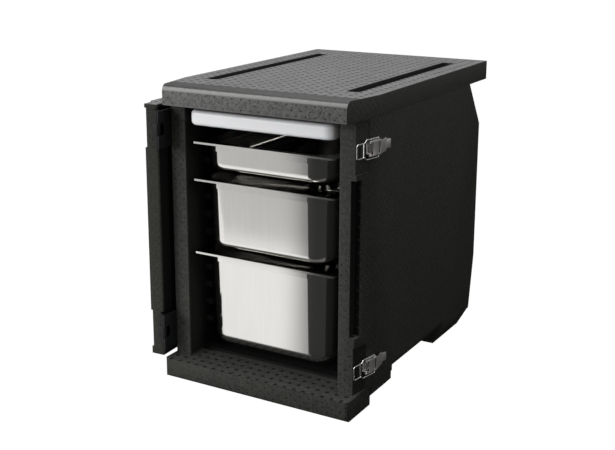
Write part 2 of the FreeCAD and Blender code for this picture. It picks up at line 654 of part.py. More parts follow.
def make_hinge(name, middle):
    """One hinge: a body leaf with two knuckles, a door leaf with the middle knuckle, a pin."""
    low = f"{middle} - hinge_tall / 2"
    high = f"{middle} + hinge_tall / 2"
    knuckle_low = f"{middle} - hinge_knuckle / 2"
    knuckle_high = f"{middle} + hinge_knuckle / 2"
    bore = "pin_r + pin_gap"
    arm = box("-leaf_seat_x - leaf_thick", "-leaf_seat_x", "-pin_y - barrel_r", "leaf_back_y", low, high)
    barrel = rod("barrel_r", "hinge_tall", "-pin_x", "-pin_y", low)
    gap = box("-pin_x - barrel_r - 1", "-leaf_seat_x + 1", "-pin_y - barrel_r - 1",
              "-door_gap - door_thick + door_seat + 2",
              f"{knuckle_low} - knuckle_gap", f"{knuckle_high} + knuckle_gap")
    hole = rod(bore, "hinge_tall + 2", "-pin_x", "-pin_y", f"{low} - 1")
    holes = [rod("screw_r + pin_gap", "20", "-leaf_seat_x - 10", y, z, (1, 0, 0)) for y, z in body_screws(middle)]
    keep(cut(join(arm, barrel), gap, hole, *holes), f"{name}_hinge_body_leaf")

    face = "-door_gap - door_thick + door_seat"
    leaf = box("-pin_x", "-pin_x + door_leaf_wide", f"{face} - leaf_thick", face, low, high)
    clear = [box("-pin_x - 1", "-pin_x + barrel_r + 1.5", f"{face} - leaf_thick - 1", f"{face} + 1", low_z, high_z)
             for low_z, high_z in ((f"{low} - 1", f"{knuckle_low} + 0"), (f"{knuckle_high} + 0", f"{high} + 1"))]
    web = box("-pin_x", "-pin_x + barrel_r", "-pin_y", face, knuckle_low, knuckle_high)
    knuckle = rod("barrel_r", "hinge_knuckle", "-pin_x", "-pin_y", knuckle_low)
    holes = [rod("screw_r + pin_gap", "20", x, f"{face} - 10", z, (0, 1, 0)) for x, z in door_screws(middle)]
    hole = rod(bore, "hinge_knuckle + 2", "-pin_x", "-pin_y", f"{knuckle_low} - 1")
    keep(open_door(cut(join(cut(leaf, *clear), web, knuckle), hole, *holes)), f"{name}_hinge_door_leaf")

    head = rod("pin_r + 1.5", "1.5", "-pin_x", "-pin_y", high)
    keep(join(rod("pin_r", "hinge_tall", "-pin_x", "-pin_y", low), head), f"{name}_hinge_pin")


def make_door_and_hinges():
    make_door()
    for name, middle in hinge_heights():
        make_hinge(name, middle)


# ---------------------------------------------------------------- latches

def side_placement(height):
    """Where a latch's own frame stands: X out of the tapered side, Y back along it."""
    lean = math.degrees(math.atan2(number("side_x - front_x"), number("taper_y")))
    turn = FreeCAD.Rotation(FreeCAD.Vector(0, 0, 1), -lean)
    return FreeCAD.Placement(FreeCAD.Vector(number("front_x"), 0, number(height)), turn)


def place_on_side(thing, height, label):
    thing.Placement = side_placement(height).multiply(thing.Placement)
    return keep(thing, label)


def make_base(name, height):
    """The riveted base plate with two ears for the lever pin."""
    plate = box("0", "latch_plate", "latch_pivot_y - 6", "bail_pivot_y + 6", "3 * latch_plate - lever_half", "lever_half - 3 * latch_plate")
    ears = []
    for sign in (-1, 1):
        inner = "lever_half - 3 * latch_plate"
        low = inner if sign > 0 else f"-({inner}) - latch_plate"
        ears.append(box("0", "latch_pivot_n", "latch_pivot_y - 4", "latch_pivot_y + 4", low, f"{low} + latch_plate"))
        ears.append(rod("4", "latch_plate", "latch_pivot_n", "latch_pivot_y", low))
    hole = rod("latch_pin_r", "2 * lever_half", "latch_pivot_n", "latch_pivot_y", "-lever_half")
    holes = [rod("rivet_r", "4", "-1", y, z, (1, 0, 0)) for y, z in base_rivets()]
    place_on_side(cut(join(plate, *ears), hole, *holes), height, f"{name}_latch_base")


def base_rivets():
    """Places of a base plate's rivets: along the side and up."""
    return [("latch_pivot_y + 9", "0"), ("bail_pivot_y + 2", "0")]


def make_lever(name, height):
    """The channel-shaped lever with a window over the bail and a turned-up finger tab."""
    body = new_body(f"{name}_lever")
    top = "bail_pivot_n + bail_wire_r + latch_plate"
    sketch = new_sketch(body, f"{name}_lever_cheeks", "XY_Plane", "-lever_half")
    polygon(sketch, [("latch_pivot_n - 2", "latch_pivot_y - 4"), ("latch_pivot_n + 3", "latch_pivot_y - 4"),
                     (top, "latch_pivot_y + 4"), (top, "bail_pivot_y + 6"), ("latch_pivot_n - 2", "bail_pivot_y + 6")])
    pad(body, sketch, "2 * lever_half")
    sketch = new_sketch(body, f"{name}_lever_inside", "XY_Plane", "latch_plate - lever_half")
    polygon(sketch, [("-1", "latch_pivot_y - 5"), ("latch_pivot_n + 4", "latch_pivot_y - 5"), ("20", "latch_pivot_y - 5"),
                     ("20", "latch_pivot_y + 4"), (f"{top} - latch_plate", "latch_pivot_y + 4"),
                     (f"{top} - latch_plate", "bail_pivot_y + 7"), ("-1", "bail_pivot_y + 7")])
    pocket(body, sketch, "2 * (lever_half - latch_plate)", flip=True)
    sketch = new_sketch(body, f"{name}_lever_tail", "XY_Plane", "-tail_half")
    polygon(sketch, [(f"{top} - latch_plate", "bail_pivot_y + 2.5"), (top, "bail_pivot_y + 2.5"),
                     (top, "bail_pivot_y + 6"), ("lever_end_n", "lever_end_y - 9"),
                     ("lever_end_n + 2", "lever_end_y"), ("lever_end_n + 2 - latch_plate", "lever_end_y"),
                     ("lever_end_n - latch_plate", "lever_end_y - 9"), (f"{top} - latch_plate", "bail_pivot_y + 6")])
    pad(body, sketch, "2 * tail_half")
    sketch = new_sketch(body, f"{name}_lever_tab", "YZ_Plane", "-5")
    for sign in ("", "-"):
        polygon(sketch, [("lever_end_y - 14", f"{sign}(tail_half)"), ("lever_end_y - 12", f"{sign}(tab_half)"),
                         ("lever_end_y + 1", f"{sign}(tab_half - 0.5)"), ("lever_end_y + 1", f"{sign}(tail_half + 2)"),
                         ("lever_end_y - 14", f"{sign}(tail_half + 2)")])
    pocket(body, sketch, "30", flip=True)
    sketch = new_sketch(body, f"{name}_lever_window", "YZ_Plane", "bail_pivot_n")
    rectangle(sketch, "bail_pivot_y - 5", "bail_pivot_y + 2.5", "latch_plate * 2 - lever_half", "lever_half - latch_plate * 2")
    pocket(body, sketch, "20", flip=True)
    sketch = new_sketch(body, f"{name}_lever_holes", "XY_Plane", "-lever_half - 1")
    circle(sketch, "latch_pivot_n", "latch_pivot_y", "latch_pin_r + pin_gap")
    circle(sketch, "bail_pivot_n", "bail_pivot_y", "bail_wire_r + pin_gap")
    pocket(body, sketch, "2 * lever_half + 2", flip=True)
    place_on_side(body, height, f"{name}_latch_lever")


def make_bail(name, height):
    """The closed wire bail, wide at the lever and narrow at the keeper, with its bridge strip."""
    wire = []
    wide = number("bail_half_wide")
    thin = number("bail_half_thin")
    out = number("bail_pivot_n")
    places = [("bail_pivot_y", "bail_half_wide"), ("latch_pivot_y - 14", "bail_half_wide"),
              ("latch_pivot_y - 20", "bail_half_thin"), ("-bail_front_y", "bail_half_thin")]
    rounds = [number("bail_pivot_y") - 5, 5.0]
    corners = [FreeCAD.Vector(out, number(y), number(z)) for y, z in places]
    corners += [FreeCAD.Vector(v.x, v.y, -v.z) for v in reversed(corners)]
    path = rounded_path(corners, 3.0)
    profile = Part.Wire(Part.Circle(path.Edges[0].valueAt(path.Edges[0].FirstParameter),
                                    path.Edges[0].tangentAt(path.Edges[0].FirstParameter),
                                    number("bail_wire_r")).toShape())
    loop = path.makePipeShell([profile], True, False)
    front = number("latch_pivot_y - 20")
    strip = Part.makeBox(1.4, 3.5, 2 * thin, FreeCAD.Vector(out - 0.7, front - 3.5, -thin))
    bail = doc.addObject("Part::Feature", f"{name}_bail")
    bail.Shape = loop.fuse(strip).removeSplitter()
    place_on_side(bail, height, f"{name}_latch_bail")


def rounded_path(corners, radius):
    """A closed wire of straight runs and tangent arcs, starting in the middle of a run."""
    edges = []
    count = len(corners)
    trims = []
    for i in range(count):
        before = (corners[i - 1] - corners[i]).normalize()
        after = (corners[(i + 1) % count] - corners[i]).normalize()
        half = math.acos(max(-1.0, min(1.0, before.dot(after)))) / 2
        reach = radius / math.tan(half)
        start = corners[i] + before * reach
        end = corners[i] + after * reach
        centre = corners[i] + (before + after).normalize() * (radius / math.sin(half))
        middle = centre + (corners[i] - centre).normalize() * radius
        trims.append((start, middle, end))
    last = trims[-1][2]
    begin = (last + trims[0][0]) * 0.5
    edges.append(Part.LineSegment(begin, trims[0][0]).toShape())
    for i in range(count):
        start, middle, end = trims[i]
        edges.append(Part.Arc(start, middle, end).toShape())
        goal = trims[(i + 1) % count][0] if i + 1 < count else begin
        edges.append(Part.LineSegment(end, goal).toShape())
    return Part.Wire(edges)


def make_latch(name, height):
    make_base(name, height)
    make_lever(name, height)
    make_bail(name, height)
    pin = rod("latch_pin_r", "2 * lever_half + 2", "latch_pivot_n", "latch_pivot_y", "-lever_half - 1")
    heads = [rod("latch_pin_r + 1.2", "1", "latch_pivot_n", "latch_pivot_y", z) for z in ("-lever_half - 1.3", "lever_half + 0.3")]
    place_on_side(join(pin, *heads), height, f"{name}_latch_pin")


def make_keeper(name, height):
    """The hook plate on the door's free edge that the bail pulls on."""
    plate = box("door_x", "door_x + latch_plate", "-26", "-4", f"{height} - keeper_half", f"{height} + keeper_half")
    bar = side_placement(height).multVec(FreeCAD.Vector(number("bail_pivot_n"), -number("bail_front_y"), 0))
    clear = number("bail_wire_r + keeper_gap")
    web_y = round(bar.y + clear, 3)
    tip_x = round(bar.x + clear, 3)
    web = box("door_x", f"{tip_x} + latch_plate", str(web_y), f"{web_y} + latch_plate",
              f"{height} - keeper_half", f"{height} + keeper_half")
    tip = box(str(tip_x), f"{tip_x} + latch_plate", f"{web_y} - keeper_deep",
              f"{web_y} + latch_plate", f"{height} - keeper_half", f"{height} + keeper_half")
    holes = [rod("rivet_r", "10", "door_x - 5", y, f"{height} + {z}", (1, 0, 0)) for y, z in keeper_rivets()]
    keep(open_door(cut(join(plate, web, tip), *holes)), f"{name}_latch_keeper")


def keeper_rivets():
    """Places of a keeper's rivets on the closed door: along Y and up."""
    return [("-20", "5"), ("-20", "-5")]


# ---------------------------------------------------------------- fasteners

def fastener(radius, length, head_radius, head, x, y, z, direction):
    """A shank along a direction with a head behind the place where it starts."""
    shank = rod(radius, length, x, y, z, direction)
    back = [-c for c in direction]
    return join(shank, rod(head_radius, head, x, y, z, back))


def make_fasteners():
    """The hinge screws, the latch rivets and the keeper rivets, each kind on its carrier."""
    sizes = ("screw_r", "screw_long", "screw_head_r", "screw_head")
    face = "-door_gap - door_thick + door_seat - leaf_thick"
    fixed, moving = [], []
    for _, middle in hinge_heights():
        fixed += [fastener(*sizes, "-leaf_seat_x - leaf_thick", y, z, (1, 0, 0)) for y, z in body_screws(middle)]
        moving += [fastener(*sizes, x, face, z, (0, 1, 0)) for x, z in door_screws(middle)]
    keep(group(*fixed), "hinge_body_screws")
    keep(open_door(group(*moving)), "hinge_door_screws")
    sizes = ("rivet_r", "rivet_long", "rivet_head_r", "rivet_head")
    rivets, hooks = [], []
    for height in ("latch_high_z", "latch_low_z"):
        places = [fastener(*sizes, "latch_plate", y, z, (-1, 0, 0)) for y, z in base_rivets()]
        pair = group(*places)
        pair.Placement = side_placement(height)
        rivets.append(pair)
        hooks += [fastener(*sizes, "door_x + latch_plate", y, f"{height} + {z}", (-1, 0, 0)) for y, z in keeper_rivets()]
    keep(group(*rivets), "latch_rivets")
    keep(open_door(group(*hooks)), "keeper_rivets")


# ---------------------------------------------------------------- pans and cold plate

def make_pan(label, depth, runner):
    """One deep-drawn pan, drawn about its own rim centre and set on its runner."""
    body = new_body(label + "_body")
    outer_x = "pan_x - pan_flange"
    outer_y = "pan_long / 2 - pan_flange"
    sketch = new_sketch(body, label + "_wall", "XY_Plane")
    rounded_rectangle(sketch, outer_x, outer_y, "pan_round")
    pad(body, sketch, "pan_shoulder", flip=True)
    sketch = new_sketch(body, label + "_bowl", "XY_Plane", "-pan_shoulder")
    rounded_rectangle(sketch, f"{outer_x} - pan_shoulder_in", f"{outer_y} - pan_shoulder_in", "pan_round - pan_shoulder_in")
    pad(body, sketch, f"{depth} - pan_shoulder", flip=True, draft="-pan_draft")
    sketch = new_sketch(body, label + "_mouth", "XY_Plane")
    rounded_rectangle(sketch, f"{outer_x} - pan_sheet", f"{outer_y} - pan_sheet", "pan_round - pan_sheet")
    pocket(body, sketch, "pan_shoulder - pan_sheet", flip=False)
    sketch = new_sketch(body, label + "_inside", "XY_Plane", "pan_sheet - pan_shoulder")
    inset = "pan_shoulder_in - pan_sheet"
    rounded_rectangle(sketch, f"{outer_x} - {inset}", f"{outer_y} - {inset}", f"pan_round - {inset}")
    pocket(body, sketch, f"{depth} - pan_shoulder", flip=False, draft="-pan_draft")
    bottom = -number(depth)
    floor = bottom + number("pan_sheet")
    round_edges(body, "pan_foot_round - pan_sheet", lambda edge: flat_at(edge, 2, floor))
    round_edges(body, "pan_foot_round", lambda edge: flat_at(edge, 2, bottom))
    sketch = new_sketch(body, label + "_flange", "XY_Plane")
    rounded_rectangle(sketch, "pan_x", "pan_long / 2", "pan_edge_round")
    rounded_rectangle(sketch, f"{outer_x} - pan_sheet", f"{outer_y} - pan_sheet", "pan_round - pan_sheet")
    pad(body, sketch, "pan_sheet", flip=True)
    sketch = new_sketch(body, label + "_hem", "XY_Plane")
    rounded_rectangle(sketch, "pan_x", "pan_long / 2", "pan_edge_round")
    rounded_rectangle(sketch, "pan_x - pan_sheet", "pan_long / 2 - pan_sheet", "pan_edge_round - pan_sheet")
    pad(body, sketch, "pan_hem", flip=True)
    bind(body, Placement__Base__y="pan_front_y + pan_long / 2",
         Placement__Base__z=f"{runner} + seat_gap + pan_hem")
    return keep(body, label)


def make_plate():
    """The closed cold plate and its filler cap."""
    body = new_body("plate")
    sketch = new_sketch(body, "plate_outline", "XY_Plane")
    rounded_rectangle(sketch, "pan_x", "pan_long / 2", "plate_corner")
    pad(body, sketch, "plate_thick")
    top = number("plate_thick")
    round_edges(body, "plate_round", lambda edge: flat_at(edge, 2, top) or flat_at(edge, 2, 0))
    sketch = new_sketch(body, "cap_seat", "XY_Plane", "plate_thick - 4")
    circle(sketch, "0", "pan_long / 2 - 40", "cap_r + 1")
    pocket(body, sketch, "5", flip=True)
    bind(body, Placement__Base__x="-plate_left", Placement__Base__y="pan_long / 2 - plate_front_y",
         Placement__Base__z="runner_top_z + seat_gap")
    keep(body, "cold_plate")
    cap = rod("cap_r", "4", "-plate_left", "pan_long - 40 - plate_front_y", "runner_top_z + seat_gap + plate_thick - 4")
    slot = box("-cap_r - plate_left", "cap_r - plate_left", "pan_long - 41 - plate_front_y", "pan_long - 39 - plate_front_y",
               "runner_top_z + seat_gap + plate_thick - 1.5", "runner_top_z + seat_gap + plate_thick + 1")
    keep(cut(cap, slot), "cold_plate_cap")


def make_all():
    make_shell()
    make_cover()
    make_door_and_hinges()
    for name, height in (("upper", "latch_high_z"), ("lower", "latch_low_z")):
        make_latch(name, height)
        make_keeper(name, height)
    make_fasteners()
    make_pan("shallow_pan", "pan_a", "runner_top_z - runner_pitch")
    make_pan("medium_pan", "pan_b", "runner_top_z - 3 * runner_pitch")
    make_pan("deep_pan", "pan_c", "runner_top_z - 7 * runner_pitch")
    make_plate()


make_all()
doc.recompute()
for thing in doc.Objects:
    if "Invalid" in thing.State or "Error" in thing.State:
        raise ValueError(f"{thing.Name} failed: {thing.State}")
for thing in parts:
    if thing.Shape.isNull() or not thing.Shape.isValid():
        raise ValueError(f"{thing.Label} has no valid shape")
os.makedirs("parts", exist_ok=True)
for thing in parts:
    thing.Shape.exportStep(f"parts/{thing.Label}.step")
    box_ = thing.Shape.BoundBox
    print(f"{thing.Label:26s} {len(thing.Shape.Solids)} solid(s) {thing.Shape.Volume / 1000:9.1f} cm3",
          [round(v, 1) for v in (box_.XMin, box_.XMax, box_.YMin, box_.YMax, box_.ZMin, box_.ZMax)])
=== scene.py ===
import logging
import math
from dataclasses import dataclass, field
from enum import Enum
from typing import Any, Callable, Sequence, Union

import bmesh
import bpy
from mathutils import Matrix, Vector


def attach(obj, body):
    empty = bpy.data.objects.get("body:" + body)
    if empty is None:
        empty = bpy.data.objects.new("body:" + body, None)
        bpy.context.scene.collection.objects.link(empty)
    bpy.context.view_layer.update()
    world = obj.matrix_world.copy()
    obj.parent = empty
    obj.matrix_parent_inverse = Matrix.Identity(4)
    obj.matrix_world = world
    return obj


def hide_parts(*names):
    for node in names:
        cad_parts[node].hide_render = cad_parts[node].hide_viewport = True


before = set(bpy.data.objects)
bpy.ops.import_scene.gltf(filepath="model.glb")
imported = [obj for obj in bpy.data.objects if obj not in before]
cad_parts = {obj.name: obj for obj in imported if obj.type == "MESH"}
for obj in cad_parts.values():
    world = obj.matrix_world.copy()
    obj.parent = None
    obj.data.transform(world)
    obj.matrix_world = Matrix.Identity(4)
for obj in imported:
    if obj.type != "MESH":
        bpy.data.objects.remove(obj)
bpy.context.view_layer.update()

logging.basicConfig(level=logging.INFO, format="%(message)s")
log = logging.getLogger("carrier")

Number = Union[int, float]
Colour = tuple[float, float, float]
Point = tuple[float, float, float]
Span = tuple[float, float]
MM = 0.001


# ------------------------------------------------------------------ shader maths

class Value:
    """One value in a shader tree; arithmetic on it adds Math nodes."""

    def __init__(self, graph: "Graph", socket: bpy.types.NodeSocket) -> None:
        """Wrap a socket of a graph."""
        self.graph = graph
        self.socket = socket

    def _math(self, operation: str, first: Any, second: Any = None, clamp: bool = False) -> "Value":
        """Add a Math node.

        Args:
            operation: The node's operation.
            first: Its first value or link.
            second: Its second value or link, if it has one.
            clamp: Whether the result is kept between 0 and 1.

        Returns:
            The node's result.
        """
        sockets = {0: first} if second is None else {0: first, 1: second}
        settings = {"operation": operation, "use_clamp": clamp}
        return self.graph.add("ShaderNodeMath", settings, sockets)

    def __add__(self, other: Any) -> "Value":
        """Sum."""
        return self._math("ADD", self, other)

    def __radd__(self, other: Any) -> "Value":
        """Sum, reflected."""
        return self._math("ADD", other, self)

    def __sub__(self, other: Any) -> "Value":
        """Difference."""
        return self._math("SUBTRACT", self, other)

    def __rsub__(self, other: Any) -> "Value":
        """Difference, reflected."""
        return self._math("SUBTRACT", other, self)

    def __mul__(self, other: Any) -> "Value":
        """Product."""
        return self._math("MULTIPLY", self, other)

    def __rmul__(self, other: Any) -> "Value":
        """Product, reflected."""
        return self._math("MULTIPLY", other, self)

    def __truediv__(self, other: Any) -> "Value":
        """Quotient."""
        return self._math("DIVIDE", self, other)

    def __rtruediv__(self, other: Any) -> "Value":
        """Quotient, reflected."""
        return self._math("DIVIDE", other, self)

    def __gt__(self, other: Any) -> "Value":
        """1 where it is greater, else 0."""
        return self._math("GREATER_THAN", self, other)

    def __lt__(self, other: Any) -> "Value":
        """1 where it is less, else 0."""
        return self._math("LESS_THAN", self, other)

    def __abs__(self) -> "Value":
        """Absolute value."""
        return self._math("ABSOLUTE", self)

    def least(self, other: Any) -> "Value":
        """The smaller of two values."""
        return self._math("MINIMUM", self, other)

    def most(self, other: Any) -> "Value":
        """The larger of two values."""
        return self._math("MAXIMUM", self, other)

    def root(self) -> "Value":
        """Square root."""
        return self._math("SQRT", self)

    def fraction(self) -> "Value":
        """The part after the decimal point."""
        return self._math("FRACT", self)

    def limited(self) -> "Value":
        """The value kept between 0 and 1."""
        return self._math("ADD", self, 0.0, clamp=True)

    def ramp(self, low: Number, high: Number) -> "Value":
        """A smooth step.

        Args:
            low: The value where the step leaves 0.
            high: The value where the step reaches 1.

        Returns:
            The step's height, 0 to 1.
        """
        return self.graph.add(
            "ShaderNodeMapRange",
            {"interpolation_type": "SMOOTHSTEP"},
            {"Value": self, "From Min": low, "From Max": high, "To Min": 0.0, "To Max": 1.0},
        )


class Graph:
    """A material's node tree, built through one method."""

    def __init__(self, name: str) -> None:
        """Start an empty material.

        Args:
            name: The material's name.
        """
        self.material = bpy.data.materials.new(name)
        self.material.use_nodes = True
        self.tree = self.material.node_tree
        self.tree.nodes.clear()

    def node(self, kind: str, settings: dict[str, Any] | None = None,
             sockets: dict[Any, Any] | None = None) -> bpy.types.Node:
        """Add a node, set its settings and then its sockets.

        Args:
            kind: The node's type.
            settings: Its properties.
            sockets: Values or links for its inputs, by name or number.

        Returns:
            The node.
        """
        made = self.tree.nodes.new(kind)
        for name, setting in (settings or {}).items():
            setattr(made, name, setting)
        for name, given in (sockets or {}).items():
            target = made.inputs[name]
            if isinstance(given, Value):
                self.tree.links.new(given.socket, target)
            else:
                target.default_value = given
        return made

    def add(self, kind: str, settings: dict[str, Any] | None = None,
            sockets: dict[Any, Any] | None = None, output: Any = 0) -> Value:
        """Add a node and wrap one of its outputs.

        Args:
            kind: The node's type.
            settings: Its properties.
            sockets: Values or links for its inputs.
            output: The output's name or number.

        Returns:
            The wrapped output.
        """
        return Value(self, self.node(kind, settings, sockets).outputs[output])

    def place(self) -> Value:
        """The surface's own coordinates, in metres."""
        return self.add("ShaderNodeTexCoord", output="Object")

    def facing(self) -> Value:
        """The surface's normal in its own frame."""
        return self.add("ShaderNodeTexCoord", output="Normal")

    def split(self, vector: Value) -> tuple[Value, Value, Value]:
        """The three parts of a vector."""
        node = self.node("ShaderNodeSeparateXYZ", sockets={0: vector})
        return tuple(Value(self, out) for out in node.outputs)

    def stretch(self, vector: Value, scale: Sequence[float],
                turn: Sequence[float] = (0, 0, 0)) -> Value:
        """A vector turned and then scaled along each axis."""
        sockets = {"Vector": vector, "Scale": tuple(scale), "Rotation": tuple(turn)}
        return self.add("ShaderNodeMapping", {"vector_type": "POINT"}, sockets)

    def noise(self, vector: Value, scale: float, detail: float = 2.0, rough: float = 0.5) -> Value:
        """Noise between 0 and 1."""
        sockets = {"Vector": vector, "Scale": scale, "Detail": detail, "Roughness": rough}
        return self.add("ShaderNodeTexNoise", {"noise_dimensions": "3D"}, sockets, "Fac")

    def blend(self, amount: Any, first: Any, second: Any) -> Value:
        """A mix of two colours.

        Args:
            amount: The share of the second colour.
            first: The first colour or link.
            second: The second colour or link.

        Returns:
            The mixed colour.
        """
        pair = [(*c, 1.0) if isinstance(c, tuple) else c for c in (first, second)]
        sockets = {"Factor": amount, 6: pair[0], 7: pair[1]}
        return self.add("ShaderNodeMix", {"data_type": "RGBA"}, sockets, 2)

    def relief(self, height: Value, distance: float, strength: float = 1.0,
               normal: Value | None = None) -> Value:
        """A Bump node's normal.

        Args:
            height: The height, 0 to 1.
            distance: How far 1 stands out, in metres.
            strength: The share of the relief that shows.
            normal: A normal to add the relief to.

        Returns:
            The new normal.
        """
        sockets = {"Height": height, "Distance": distance, "Strength": strength}
        if normal is not None:
            sockets["Normal"] = normal
        return self.add("ShaderNodeBump", sockets=sockets)

    def finish(self, **sockets: Any) -> bpy.types.Material:
        """Add the surface shader and the output.

        Args:
            **sockets: The shader's inputs, with underscores for spaces.

        Returns:
            The finished material.
        """
        named = {name.replace("_", " "): given for name, given in sockets.items()}
        for name, given in named.items():
            if isinstance(given, tuple) and len(given) == 3:
                named[name] = (*given, 1.0)
        shader = self.add("ShaderNodeBsdfPrincipled", sockets=named)
        self.node("ShaderNodeOutputMaterial", sockets={"Surface": shader})
        return self.material


# ------------------------------------------------------------------ finishes

class Slot(Enum):
    """The material slots."""

    SHELL = "shell_foam"
    COVER = "cover_foam"
    DOOR = "door_foam"
    HINGE = "hinge_steel"
    DARK = "dark_steel"
    BRIGHT = "bright_steel"
    SATIN = "satin_steel"
    PAN = "pan_steel"
    PLATE = "plate_plastic"
    CAP = "cap_plastic"


@dataclass(frozen=True)
class Shadow:
    """A box of space, in metres, where the foam is kept dark."""

    low: Point
    high: Point
    depth: float = 0.9
    soft: float = 1.0 * MM

    def mask(self, x: Value, y: Value, z: Value) -> Value:
        """How far the box darkens the surface.

        Args:
            x: The surface's first coordinate, in metres.
            y: The surface's second coordinate, in metres.
            z: The surface's third coordinate, in metres.

        Returns:
            The darkening, from 0 outside the box to its depth inside it.
        """
        inside = None
        for part, low, high in zip((x, y, z), self.low, self.high):
            past_low = part.ramp(low - self.soft, low + self.soft)
            past_high = part.ramp(high - self.soft, high + self.soft)
            edge = past_low * (1 - past_high)
            inside = edge if inside is None else inside * edge
        return inside * self.depth


@dataclass(frozen=True)
class FoamFinish:
    """Moulded bead foam: fused beads under a smooth skin, with rows of steam vent marks.

    A face's colour follows the way it faces, as painted light: lit tops, mid fronts, shaded sides.
    Where edge isn't 0, the strip behind the front edge is painted shade and the bend in front of
    it a painted highlight.
    """

    name: str
    dark: Colour = (0.010, 0.0105, 0.0095)
    # top, front and side: painted light, one foam lit brightest on tops and darkest on sides
    top: Colour = (0.20, 0.20, 0.197)
    front: Colour = (0.057, 0.057, 0.051)
    side: Colour = (0.034, 0.036, 0.029)
    rough: float = 0.62
    bead: float = 4.2 * MM
    pitch_top: float = 21.0 * MM
    pitch_front: float = 20.0 * MM
    pitch_side: float = 15.0 * MM
    mark: float = 2.6 * MM
    mark_top: float = 7.0 * MM
    mark_rim: Span = (0.45, 0.75)
    square: float = 0.75
    plain: tuple[float, float, float] | None = None
    marks: float = 1.0
    sheen: float = 0.16
    turn: float = 0.0
    # edge: strength of the painted shade strip behind the front edge and the painted highlight on
    # its bend
    edge: float = 0.0
    strip: Span = (2.0 * MM, 14.0 * MM)
    bend_start: Span = (0.10, 0.30)
    bend_end: Span = (0.55, 0.75)
    bend_side: Span = (0.3, 0.6)
    highlight_gain: float = 1.8
    patch: Span = (0.25, 0.6)
    mottle: float = 0.72
    shadow_tone: float = 0.25
    shadows: tuple[Shadow, ...] = ()

    @staticmethod
    def _vents(across: Value, up: Value, pitch: float, mark: float,
               rim: Span, shifts: tuple[float, ...] = (0.0, 0.5)) -> Value:
        """Rows of round vent marks on one kind of face, staggered unless there is one shift.

        Args:
            across: The first coordinate on the face, in metres.
            up: The second coordinate on the face, in metres.
            pitch: The distance from one mark to the next in a row.
            mark: A mark's width.
            rim: Where a mark's soft rim starts and ends, as shares of its width.
            shifts: The rows' offsets, as shares of the pitch.

        Returns:
            1 inside a mark and 0 outside it.
        """
        nearest = None
        for shift in shifts:
            along = ((across / pitch + shift).fraction() - 0.5) * pitch
            above = ((up / pitch + shift).fraction() - 0.5) * pitch
            reach = (along * along + above * above).root()
            nearest = reach if nearest is None else nearest.least(reach)
        return 1 - nearest.ramp(mark * rim[0], mark * rim[1])

    def build(self) -> bpy.types.Material:
        """Make the material."""
        graph = Graph(self.name)
        place = graph.place()
        rest = graph.split(place)
        facing = graph.facing()
        if self.turn:
            place = graph.stretch(place, (1, 1, 1), (0, 0, self.turn))
            facing = graph.stretch(facing, (1, 1, 1), (0, 0, self.turn))
        x, y, z = graph.split(place)
        nx, ny, nz = graph.split(facing)
        sideways, forward, upward = (abs(part) > self.square for part in (nx, ny, nz))
        patches = graph.noise(place, 9.0, 2.0).ramp(*self.patch)
        vents = self._vents(y, z, self.pitch_side, self.mark, self.mark_rim) * sideways * patches
        tops = self._vents(x, y, self.pitch_top, self.mark_top, self.mark_rim, (0.0,)) * upward
        if self.plain is not None:
            half, front, back = self.plain
            tops = tops * (abs(x) < half) * (y > front) * (y < back)
        vents = vents + tops
        fronts = self._vents(x, z, self.pitch_front, self.mark, self.mark_rim) * forward
        vents = vents + fronts * patches
        vents = vents * self.marks
        beads = {"Vector": place, "Scale": 1 / self.bead, "Randomness": 0.9}
        cell = graph.node("ShaderNodeTexVoronoi", {"feature": "F1"}, beads)
        tone = graph.add("ShaderNodeSeparateColor", sockets={0: Value(graph, cell.outputs["Color"])})
        seams = graph.add("ShaderNodeTexVoronoi", {"feature": "DISTANCE_TO_EDGE"}, beads)
        fine = graph.noise(place, 420.0, 3.0, 0.7)
        cloud = graph.noise(place, 14.0, 3.0)
        # painted light: the foam's tone follows which way a face turns, lit on tops, shaded on sides
        skin = graph.blend(upward, graph.blend(forward, self.side, self.front), self.top)
        amount = (tone * 0.55 + fine * 0.75 + cloud * 0.30 - 0.30).limited()
        colour = graph.blend(amount, graph.blend(self.mottle, skin, self.dark), skin)
        colour = graph.blend(vents.limited(), colour, self.dark)
        if self.edge:
            # painted shade on the strip behind the front edge, painted highlight on the bend in
            # front of it
            strip = upward * (1 - y.ramp(*self.strip))
            bend = abs(nz).ramp(*self.bend_start) * (1 - abs(nz).ramp(*self.bend_end))
            bend = bend * (1 - abs(nx).ramp(*self.bend_side))
            highlight_tone = tuple(part * self.highlight_gain for part in self.front)
            colour = graph.blend(strip * self.edge, colour, self.dark)
            colour = graph.blend(bend * self.edge, colour, highlight_tone)
        deep = None
        for shadow in self.shadows:
            mask = shadow.mask(*rest)
            deep = mask if deep is None else deep.most(mask)
        if deep is not None:
            darkest = tuple(part * self.shadow_tone for part in self.dark)
            colour = graph.blend(deep, colour, darkest)
        rough = self.rough + fine * 0.10 + cloud * 0.10 + vents * 0.15
        groove = seams.ramp(0.0, 0.12)
        normal = graph.relief(groove, 0.12 * MM, 0.5)
        normal = graph.relief(fine, 0.14 * MM, 0.6, normal)
        normal = graph.relief(1 - vents, 0.5 * MM, 0.8, normal)
        return graph.finish(
            Base_Color=colour, Roughness=rough, Normal=normal, Specular_IOR_Level=self.sheen,
        )


